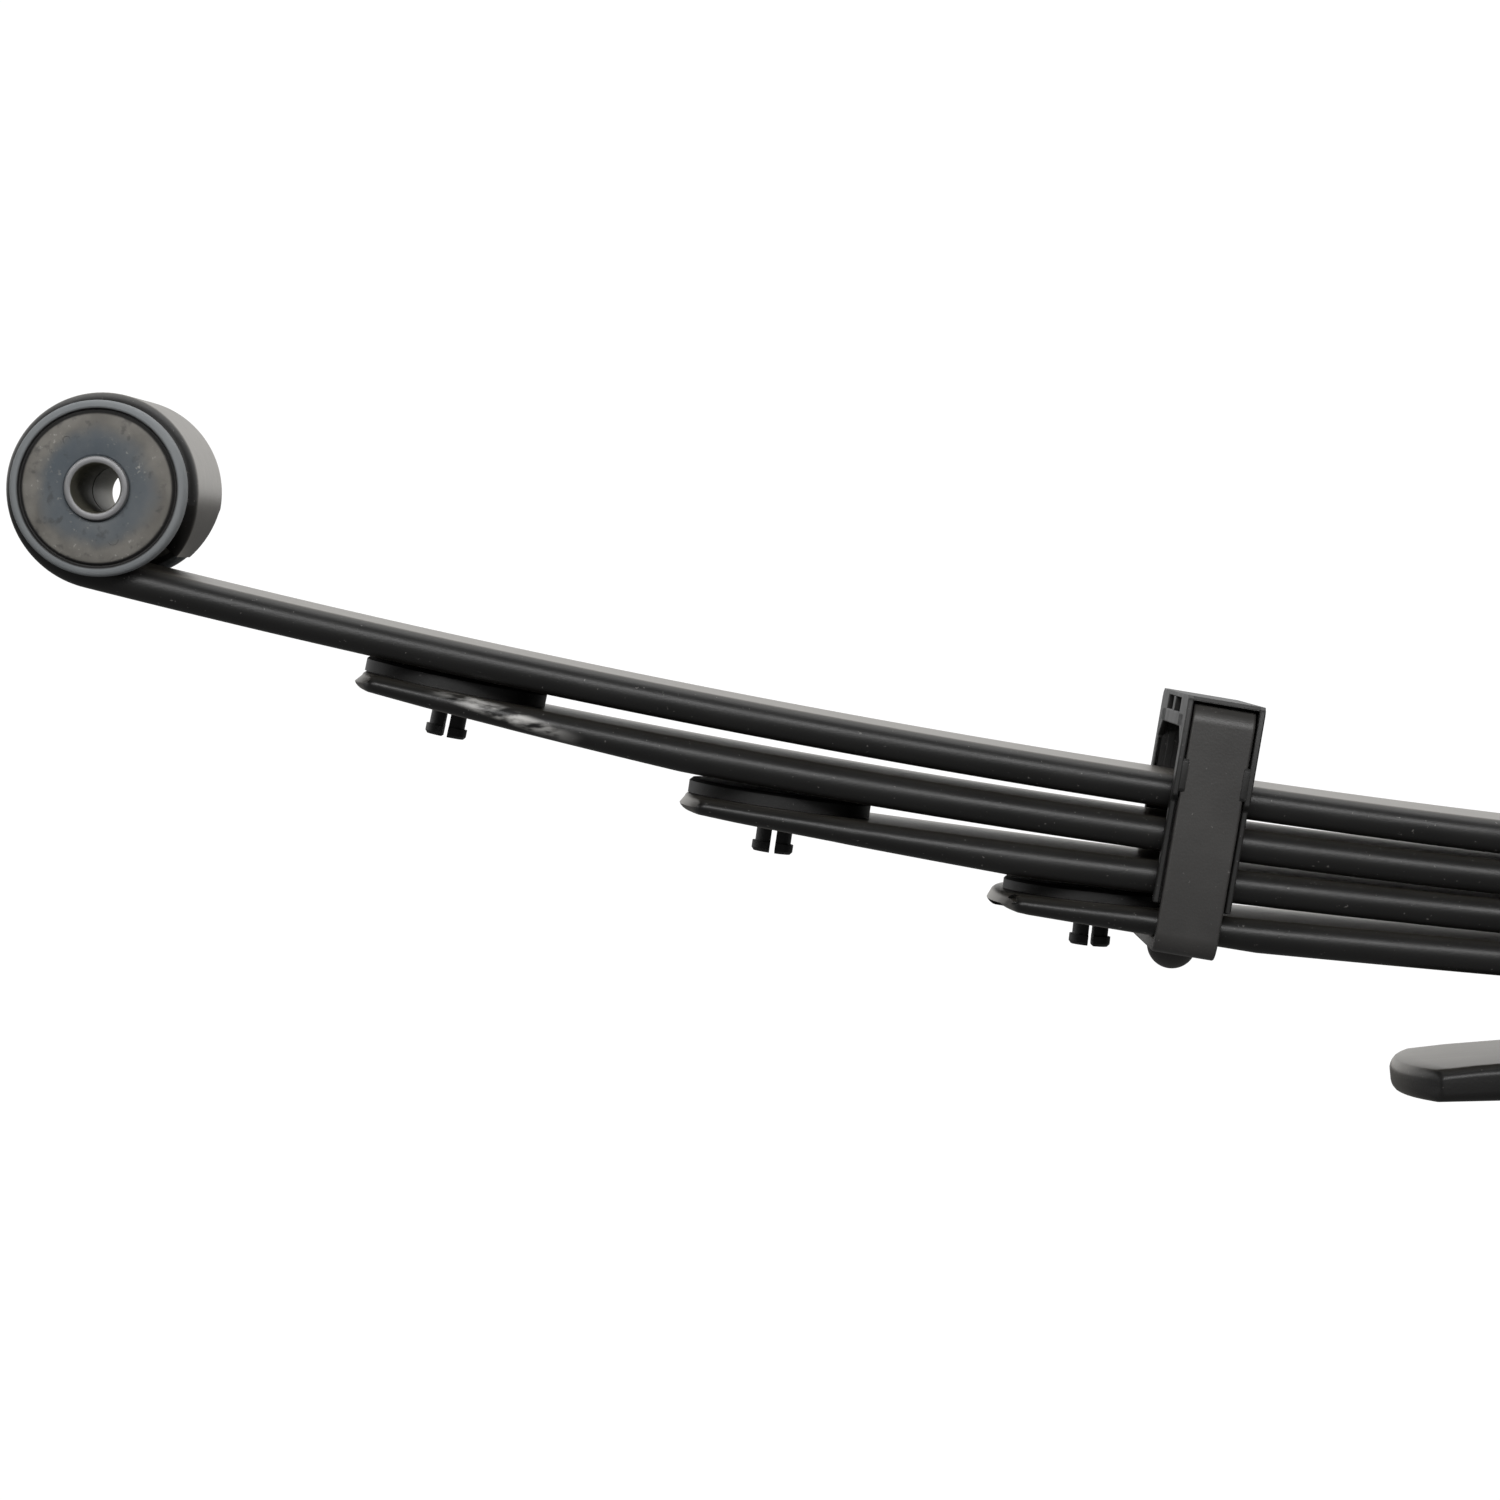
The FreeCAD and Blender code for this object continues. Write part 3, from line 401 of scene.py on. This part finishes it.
def turned(name, profile, centre, steps=128):
    """A turned piece about Y through a centre; profile is radius and Y, from bore to rim."""
    points = [(centre.x + radius, y, centre.z) for radius, y in profile]
    piece = chain(name, points + points[:1])
    bpy.ops.mesh.select_all(action="SELECT")
    bpy.ops.mesh.spin(steps=steps, angle=2 * math.pi, center=centre, axis=(0, 1, 0))
    return finish_mesh(piece, 30)


def joined(pieces):
    """Joins pieces into the first, each a closed shell of its own."""
    bpy.ops.object.select_all(action="DESELECT")
    for piece in pieces:
        piece.select_set(True)
    bpy.context.view_layer.objects.active = pieces[0]
    bpy.ops.object.join()
    return pieces[0]


def stands_for(piece, node, body="root"):
    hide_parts(node)
    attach(piece, body)
    slot = next(p["material_slot"] for p in frame["record"]["subparts"] if p["node"] == node)
    piece.data.materials.clear()
    piece.data.materials.append(FINISHES[slot])


# ---------------------------------------------------------------- leaves

def bar_section(name, middle, thick, rounding):
    """The bar's section in the plane of its centre, in columns so that its end can be shaped."""
    bpy.ops.object.select_all(action="DESELECT")
    bpy.ops.mesh.primitive_plane_add(size=1, location=(0, 0, 0), rotation=(0, math.pi / 2, 0))
    piece = begin(name)
    bpy.ops.object.mode_set(mode="EDIT")
    bpy.ops.mesh.select_all(action="SELECT")
    bpy.ops.transform.resize(value=(1, WIDE, thick), center_override=(0, 0, 0))
    bpy.ops.transform.translate(value=(0, 0, middle))
    for column in range(-5, 6):
        bpy.ops.mesh.select_all(action="SELECT")
        bpy.ops.mesh.bisect(plane_co=(0, column * 5 * MM, 0), plane_no=(0, 1, 0))
    select(piece, "VERT", lambda co: abs(co.y) > WIDE / 2 - 0.1 * MM)
    bpy.ops.mesh.bevel(offset=rounding, segments=8, affect="VERTICES")
    select(piece, "FACE", lambda co: True)
    return piece


def bend_on(angle, steps, centre):
    """Carries the bar's end round a centre; a positive angle climbs."""
    bpy.ops.mesh.spin(steps=steps, angle=angle, center=centre, axis=(0, 1, 0))


def main_arcs(name):
    """The angle where the inner arc ends, both arcs' centres, and the outer radius."""
    level, inner, outer = (value * MM for value in LEAVES[name][:3])
    turn = math.asin((ARC_BREAK - SEAT_HALF) / inner)
    first = Vector((SEAT_HALF, 0, level + inner))
    second = first + Vector((math.sin(turn), 0, -math.cos(turn))) * (inner - outer)
    return turn, first, second, outer


def eye(outer_centre, outer_radius, turn):
    """The rolled eye: a slightly wider arc up its outside, then round and down inside."""
    first = Vector((EYE_REACH - EYE_START_RADIUS + EYE_RADIUS, 0, 0))
    between = outer_radius + THICK / 2 - EYE_START_RADIUS
    slope = math.asin((first.x - outer_centre.x) / between)
    first.z = outer_centre.z - between * math.cos(slope)
    bend_on(slope - turn, 60, outer_centre)
    bend_on(math.pi / 2 - slope, 24, first)
    bend_on(EYE_END, 72, Vector((EYE_REACH, 0, first.z)))


def rings(piece, centre, low, high):
    """Selects the vertices between two angles about a centre, measured from straight down."""
    def inside(co):
        angle = math.atan2(co.x - centre.x, centre.z - co.z)
        return low < angle < high
    select(piece, "VERT", inside)


def shape_tip(piece, centre, radius, turn, end, count, taper):
    """Thins the tip from below, trims its sides, rounds it in plan and rolls its nose."""
    step = (end - turn) / count
    length = step * radius
    for back in range(count + 1):
        share = 1 - back * length / taper
        if share < 0:
            break
        angle = end - back * step
        top = centre + Vector((math.sin(angle), 0, -math.cos(angle))) * radius
        trim = 1 - TIP_TRIM / (WIDE / 2) if back * length < TIP_TRIM_LENGTH else 1
        thin = 1 - share * (1 - TIP_THICK / THICK)
        rings(piece, centre, angle - step / 2, angle + step / 2)
        bpy.ops.transform.resize(value=(1, trim, thin), center_override=top)
    along = Vector((math.cos(end), 0, math.sin(end)))

    def short_of_end(co):
        return (end - math.atan2(co.x - centre.x, centre.z - co.z)) * radius

    round_end(piece, short_of_end, length, along, TIP_PLAN_RADIUS)
    middle = centre + Vector((math.sin(end), 0, -math.cos(end))) * (radius + TIP_THICK / 2)
    roll_nose(piece, short_of_end, along, TIP_PLAN_RADIUS, middle)


def bulge(y, plan_radius):
    """How far a rounded end falls back at a distance from the middle of the leaf."""
    return plan_radius - math.sqrt(plan_radius ** 2 - y ** 2)


def round_end(piece, short_of_end, length, along, plan_radius):
    """Rounds the end in plan: each column of the last three rings falls back by its bulge."""
    for back, weight in ((2, 0.33), (1, 0.66), (0, 1.0)):
        def in_ring(co):
            return abs(short_of_end(co) - back * length) < length * 0.45

        ring = [v.co for v in piece.data.vertices if in_ring(v.co)]
        for y in sorted({round(abs(co.y), 5) for co in ring}):
            if y < 1 * MM:
                continue
            select(piece, "VERT", lambda co: abs(abs(co.y) - y) < 0.02 * MM and in_ring(co))
            bpy.ops.transform.translate(value=-along * bulge(y, plan_radius) * weight)
            bpy.ops.object.mode_set(mode="OBJECT")


def roll_nose(piece, short_of_end, along, plan_radius, middle):
    """Rolls the end over in steps, each further out and thinner."""
    select(piece, "FACE", lambda co: short_of_end(co) - bulge(co.y, plan_radius) < 0.8 * MM)
    for out, wide, thin in NOSE:
        move_on(along * out * MM)
        middle = middle + along * out * MM
        bpy.ops.transform.resize(value=(1, wide, thin), center_override=middle)


def mirror_leaf(piece, name):
    """Opens the section at the centre and adds the other half."""
    select(piece, "FACE", lambda co: abs(co.x) < 0.01 * MM)
    bpy.ops.mesh.delete(type="FACE")
    bpy.ops.object.mode_set(mode="OBJECT")
    apply(piece, "MIRROR", use_axis=(True, False, False), merge_threshold=0.02 * MM)
    finish_mesh(piece)
    stands_for(piece, name)
    return piece


def curved_leaf(name):
    level, reach, taper = (LEAVES[name][part] * MM for part in (0, 3, 4))
    turn, first, second, outer = main_arcs(name)
    piece = bar_section("bar_" + name, level - THICK / 2, THICK, EDGE_ROUND)
    move_on((SEAT_HALF, 0, 0))
    bend_on(turn, 24, first)
    if name == "main_leaf":
        eye(second, outer, turn)
        centre = Vector((EYE_REACH, 0, FRONT_EYE.z))
        step = EYE_END / 72
        for count in range(73):
            angle = count * step
            if angle >= TAB_START:
                share = (angle - TAB_START) / (EYE_END - TAB_START)
                half = WIDE / 2 - 2 * MM + share * (TAB_HALF - WIDE / 2 + 2 * MM)
                low = angle + math.pi / 2 - step / 2
                select(piece, "VERT", lambda co: in_wrap(co, centre, low, low + step))
                bpy.ops.transform.resize(value=(1, half / (WIDE / 2), 1), center_override=centre)
    else:
        count = 48
        end = math.asin((reach - second.x) / outer)
        end = math.asin((reach - NOSE_LENGTH - TIP_THICK * TIP_SETBACK * math.sin(end) - second.x) / outer)
        bend_on(end - turn, count, second)
        shape_tip(piece, second, outer, turn, end, count, taper)
    return mirror_leaf(piece, name)


def in_wrap(co, centre, low, high):
    """Whether a vertex of the rolled eye lies between two angles of the wrap's inner end."""
    away = Vector((co.x - centre.x, co.z - centre.z))
    if abs(away.length - EYE_RADIUS) > THICK / 2 + 0.5 * MM:
        return False
    angle = math.atan2(away.x, -away.y) % (2 * math.pi)
    return low % (2 * math.pi) < angle < high % (2 * math.pi)


def overload_leaf():
    """The flat leaf: a seat, a droop, a straight run, thinned from above, its end rounded."""
    thick = 12 * MM
    tip_thick = 8.2 * MM
    plan_radius = 60 * MM
    droop = math.radians(1.3)
    radius = 600 * MM
    reach = 362.75 * MM - NOSE_LENGTH
    taper = 67 * MM
    piece = bar_section("bar_overload_leaf", thick / 2, thick, 3.5 * MM)
    move_on((SEAT_HALF, 0, 0))
    low_centre = Vector((SEAT_HALF, 0, thick / 2 - radius))
    bend_on(-droop, 6, low_centre)
    start = low_centre + Vector((math.sin(droop), 0, math.cos(droop))) * radius
    count = 56
    along = Vector((math.cos(droop), 0, -math.sin(droop)))
    step = (reach - start.x) / math.cos(droop) / count
    for _ in range(count):
        move_on(along * step)
    tip = start + along * step * count
    for back in range(count + 1):
        share = 1 - back * step / taper
        if share < 0:
            break
        place = tip - along * step * back
        low = place - Vector((0, 0, thick / 2))
        select(piece, "VERT", lambda co: abs((co - place).dot(along)) < step / 2)
        bpy.ops.transform.resize(value=(1, 1, 1 - share * (1 - tip_thick / thick)), center_override=low)

    def short_of_end(co):
        return (tip - co).dot(along)

    round_end(piece, short_of_end, step, along, plan_radius)
    roll_nose(piece, short_of_end, along, plan_radius, tip - Vector((0, 0, (thick - tip_thick) / 2)))
    return mirror_leaf(piece, "overload_leaf")


# ---------------------------------------------------------------- rebound clips

CLIP_REACH = 419 * MM
CLIP_FOOT = 33.586 * MM
CLIP_LEAN = math.radians(9.544)
STRAP_HALF = 7.9 * MM
STRAP_THICK = 3.3 * MM
STRAP_SIDE = 32.2 * MM
STRAP_RISE = 56.9 * MM
STRAP_BEND = 5.25 * MM
STRAP_LIP = 23 * MM


def set_on_leaf(piece, side):
    """Moves a piece made upright at the origin to a clip's place on its leaf."""
    bpy.ops.object.select_all(action="DESELECT")
    piece.select_set(True)
    bpy.context.view_layer.objects.active = piece
    piece.location = (side * CLIP_REACH, 0, CLIP_FOOT)
    piece.rotation_euler = (0, -side * CLIP_LEAN, 0)
    bpy.ops.object.transform_apply(location=True, rotation=True, scale=True)


def strap(end, side):
    """A flat steel strap, bent up both sides and in over the top."""
    bpy.ops.object.select_all(action="DESELECT")
    bpy.ops.mesh.primitive_plane_add(size=1, rotation=(math.pi / 2, 0, 0))
    piece = begin(f"strap_{end}")
    bpy.ops.object.mode_set(mode="EDIT")
    bpy.ops.mesh.select_all(action="SELECT")
    bpy.ops.transform.resize(value=(2 * STRAP_HALF, 1, STRAP_THICK), center_override=(0, 0, 0))
    bpy.ops.transform.translate(value=(0, 0, -STRAP_THICK / 2))
    inner = STRAP_BEND - STRAP_THICK
    edge = STRAP_SIDE - inner
    move_on((0, -edge, 0))
    bpy.ops.mesh.spin(steps=12, angle=math.pi / 2, center=(0, -edge, inner), axis=(1, 0, 0))
    move_on((0, 0, STRAP_RISE - 2 * inner))
    bpy.ops.mesh.spin(steps=12, angle=math.pi / 2, center=(0, -edge, STRAP_RISE - inner), axis=(1, 0, 0))
    move_on((0, edge - STRAP_LIP, 0))
    select(piece, "FACE", lambda co: abs(co.y) < 0.01 * MM)
    bpy.ops.mesh.delete(type="FACE")
    bpy.ops.object.mode_set(mode="OBJECT")
    apply(piece, "MIRROR", use_axis=(False, True, False), merge_threshold=0.02 * MM)
    finish_mesh(piece)
    apply(piece, "BEVEL", width=0.55 * MM, segments=3, limit_method="ANGLE", angle_limit=math.radians(50))
    finish_mesh(piece)
    set_on_leaf(piece, side)
    stands_for(piece, f"{end}_clip_strap")


def liner(end, side):
    """The moulded liner: ribbed walls, rims and hooks that hold the strap, a bridge, a top plate."""
    rim = 1.5 * MM
    face = STRAP_HALF + 0.45 * MM
    outer = STRAP_SIDE + STRAP_THICK + 0.5 * MM
    foot, top = 9.0 * MM, 61.5 * MM
    wall_in, wall_out = 30.3 * MM, 32.0 * MM
    low_rim = STRAP_SIDE + 1.6 * MM
    bridge_low, bridge_high = 53.2 * MM, 56.7 * MM
    window, post = 18 * MM, 2.5 * MM
    plate_low = 60.3 * MM
    whole = 2 * (face + rim)
    pieces = []
    for hand in (-1, 1):
        wall = [
            (wall_in, foot), (wall_out, foot),
            (wall_out, bridge_high - 2.4 * MM), (wall_in, bridge_high - 1 * MM)]
        gusset = [
            (wall_in, foot), (low_rim, foot), (low_rim, 35 * MM), (outer, 36.5 * MM), (outer, top - 2.2 * MM),
            (outer - 0.7 * MM, top - 0.7 * MM), (outer - 2.2 * MM, top), (window, top), (window, bridge_low),
            (wall_in - 6 * MM, bridge_low), (wall_in, bridge_low - 4 * MM)]
        turn = [(hand * y, z) for y, z in wall]
        pieces.append(cut_plate("wall", turn, -face - rim, whole, 0.3 * MM))
        for place in (-face - rim, face):
            turn = [(hand * y, z) for y, z in gusset]
            pieces.append(cut_plate("rim", turn, place, rim, 0.35 * MM))
            reach = 1.5 * MM
            start = STRAP_HALF - 0.9 * MM if place > 0 else -STRAP_HALF - 0.6 * MM
            y = STRAP_SIDE + STRAP_THICK
            hook = [(y, 37.4 * MM), (y + 0.5 * MM, 38.2 * MM), (y + 0.5 * MM, 45.0 * MM), (y, 45.8 * MM)]
            turn = [(hand * y, z) for y, z in hook]
            pieces.append(cut_plate("hook", turn, start, reach, 0.12 * MM))
        for rib in (-6.2, -2.1, 2.1, 6.2):
            near, far = wall_in - 0.22 * MM, wall_in + 0.1 * MM
            low, high = foot + 2 * MM, 51 * MM
            turn = [(hand * near, low), (hand * far, low), (hand * far, high), (hand * near, high)]
            pieces.append(cut_plate("rib", turn, (rib - 0.9) * MM, 1.8 * MM, 0.1 * MM))
    bridge = [
        (-wall_in, bridge_low), (wall_in, bridge_low),
        (wall_in - 1 * MM, bridge_high), (1 * MM - wall_in, bridge_high)]
    pieces.append(cut_plate("bridge", bridge, -face - rim, whole, 0.3 * MM))
    stem_low = bridge_high - 0.2 * MM
    stem = [(-post, stem_low), (post, stem_low), (post, plate_low), (-post, plate_low)]
    for place in (-face - rim, face):
        pieces.append(cut_plate("post", stem, place, rim, 0.2 * MM))
    edge = outer - 1.2 * MM
    plate = [
        (-edge, plate_low), (edge, plate_low), (edge, top - 0.9 * MM),
        (edge - 1 * MM, top), (1 * MM - edge, top), (-edge, top - 0.9 * MM)]
    pieces.append(cut_plate("plate", plate, -face - rim + 0.02 * MM, whole - 0.04 * MM, 0.25 * MM))
    piece = joined(pieces)
    piece.name = f"liner_{end}"
    set_on_leaf(piece, side)
    bpy.ops.object.shade_smooth_by_angle(angle=math.radians(35))
    stands_for(piece, f"{end}_clip_liner")


# ---------------------------------------------------------------- bushes

# the section of a moulded ring mark, in mm across its line and out of the face
BEAD = (
    (-0.2, 0.0), (-0.16, 0.1), (-0.06, 0.18), (0.06, 0.18),
    (0.16, 0.1), (0.2, 0.0), (0.1, -0.3), (-0.1, -0.3))


def bush(end, side, name, hand):
    """The rubber bush: a tube in the eye and a flange with a groove round its face."""
    centre = Vector((side * EYE_REACH, 0, FRONT_EYE.z))
    profile = [
        (8.05, 0.4), (8.05, 36.7), (8.5, 37.1), (10.0, 37.35), (13.0, 37.3), (16.0, 37.0), (17.8, 36.75),
        (18.5, 36.5), (18.9, 36.1), (19.05, 35.6), (19.3, 35.25), (19.6, 35.3), (19.75, 35.8), (19.95, 36.3),
        (20.4, 36.55), (21.0, 36.5), (21.6, 36.1), (21.95, 35.4), (22.0, 34.0), (22.0, 31.0), (21.6, 30.4),
        (20.9, 30.15), (16.2, 30.12), (15.6, 29.6), (15.6, 1.0), (15.2, 0.4)]
    points = [(radius * MM, hand * y * MM) for radius, y in profile]
    piece = turned(f"rubber_{end}_{name}", points, centre)
    marks = []
    for across, up, size in ((-7.3, 12.0, 0.95), (4.0, -12.7, 1.3)):
        place = Vector((centre.x + across * MM, 0, centre.z + up * MM))
        bead = [(size + wide, hand * (37.1 + high)) for wide, high in BEAD]
        marks.append(turned("mark", [(radius * MM, y * MM) for radius, y in bead], place, steps=32))
    piece = joined([piece] + marks)
    piece.name = f"rubber_{end}_{name}"
    bpy.ops.object.shade_smooth_by_angle(angle=math.radians(30))
    stands_for(piece, f"{end}_{name}_bush")


def sleeve(end, side, name, hand):
    """The steel sleeve, its bore and rim broken by small chamfers, faced on its end."""
    centre = Vector((side * EYE_REACH, 0, FRONT_EYE.z))
    profile = [
        (6.1, 0.7), (6.1, 38.4), (6.35, 38.85), (6.6, 38.98), (7.45, 39.0), (7.8, 38.85), (8.0, 38.4),
        (8.0, 0.5), (7.7, 0.2), (6.6, 0.2)]
    points = [(radius * MM, hand * y * MM) for radius, y in profile]
    piece = turned(f"tube_{end}_{name}", points, centre)
    stands_for(piece, f"{end}_{name}_inner_sleeve", f"{end}_sleeve")

# ---------------------------------------------------------------- the spring

for leaf in LEAVES:
    curved_leaf(leaf)
overload_leaf()
for end_name, end_side in ENDS:
    strap(end_name, end_side)
    liner(end_name, end_side)
    for bush_name, bush_hand in (("left", -1), ("right", 1)):
        bush(end_name, end_side, bush_name, bush_hand)
        sleeve(end_name, end_side, bush_name, bush_hand)


# ---------------------------------------------------------------- studio

def pale_world():
    """White all round for the eye of the camera, dimmer in front of the spring for its gloss."""
    world = bpy.data.worlds.new("studio")
    bpy.context.scene.world = world
    world.use_nodes = True
    tree = world.node_tree
    tree.nodes.clear()
    output = tree.nodes.new("ShaderNodeOutputWorld")
    seen = tree.nodes.new("ShaderNodeBackground")
    seen.inputs["Strength"].default_value = 1.05
    glow = tree.nodes.new("ShaderNodeBackground")
    pick = tree.nodes.new("ShaderNodeMixShader")
    path = tree.nodes.new("ShaderNodeLightPath")
    place = tree.nodes.new("ShaderNodeTexCoord")
    split = tree.nodes.new("ShaderNodeSeparateXYZ")
    fade = tree.nodes.new("ShaderNodeMapRange")
    fade.interpolation_type = "SMOOTHSTEP"
    fade.inputs["From Min"].default_value = -0.3
    fade.inputs["From Max"].default_value = 0.5
    fade.inputs["To Min"].default_value = 0.06
    fade.inputs["To Max"].default_value = 1.0
    tree.links.new(place.outputs["Generated"], split.inputs[0])
    tree.links.new(split.outputs["Y"], fade.inputs["Value"])
    tree.links.new(fade.outputs[0], glow.inputs["Strength"])
    tree.links.new(path.outputs["Is Camera Ray"], pick.inputs[0])
    tree.links.new(glow.outputs[0], pick.inputs[1])
    tree.links.new(seen.outputs[0], pick.inputs[2])
    tree.links.new(pick.outputs[0], output.inputs[0])
    for background in (seen, glow):
        background.inputs["Color"].default_value = (1, 1, 1, 1)


def pale_floor():
    bpy.ops.mesh.primitive_plane_add(size=60, location=(0, 0, FLOOR - 0.0003))
    floor = bpy.context.object
    floor.name = "floor"
    material = bpy.data.materials.new("pale_floor")
    material.use_nodes = True
    tree = material.node_tree
    tree.nodes.clear()
    output = tree.nodes.new("ShaderNodeOutputMaterial")
    seen = tree.nodes.new("ShaderNodeEmission")
    seen.inputs["Strength"].default_value = 1.05
    glow = tree.nodes.new("ShaderNodeEmission")
    glow.inputs["Strength"].default_value = 0.16
    pick = tree.nodes.new("ShaderNodeMixShader")
    path = tree.nodes.new("ShaderNodeLightPath")
    tree.links.new(path.outputs["Is Camera Ray"], pick.inputs[0])
    tree.links.new(glow.outputs[0], pick.inputs[1])
    tree.links.new(seen.outputs[0], pick.inputs[2])
    tree.links.new(pick.outputs[0], output.inputs[0])
    floor.data.materials.append(material)


def softbox(name, place, aim, size, power):
    lamp = bpy.data.lights.new(name, "AREA")
    lamp.shape = "RECTANGLE"
    lamp.size, lamp.size_y = size
    lamp.energy = power
    lit = bpy.data.objects.new(name, lamp)
    bpy.context.scene.collection.objects.link(lit)
    lit.location = place
    lit.rotation_euler = (Vector(aim) - Vector(place)).to_track_quat("-Z", "Y").to_euler()


def camera():
    lens = bpy.data.cameras.new("camera")
    lens.sensor_width = 36
    lens.lens = 114.5
    eye = bpy.data.objects.new("camera", lens)
    bpy.context.scene.collection.objects.link(eye)
    eye.location = (FRONT_EYE.x + 0.1622, -1.223, FRONT_EYE.z - 0.0195)
    eye.rotation_euler = (math.radians(90 - 2.2), 0, 0)
    bpy.context.scene.camera = eye


pale_world()
pale_floor()
camera()
softbox("front_softbox", (-0.5, -1.5, 0.85), (-0.5, 0, 0.08), (2.6, 0.4), 26)
softbox("top_softbox", (-0.3, 0.3, 1.6), (-0.3, 0, 0), (2.6, 1.2), 12)
scene = bpy.context.scene
scene.view_settings.view_transform = "Standard"
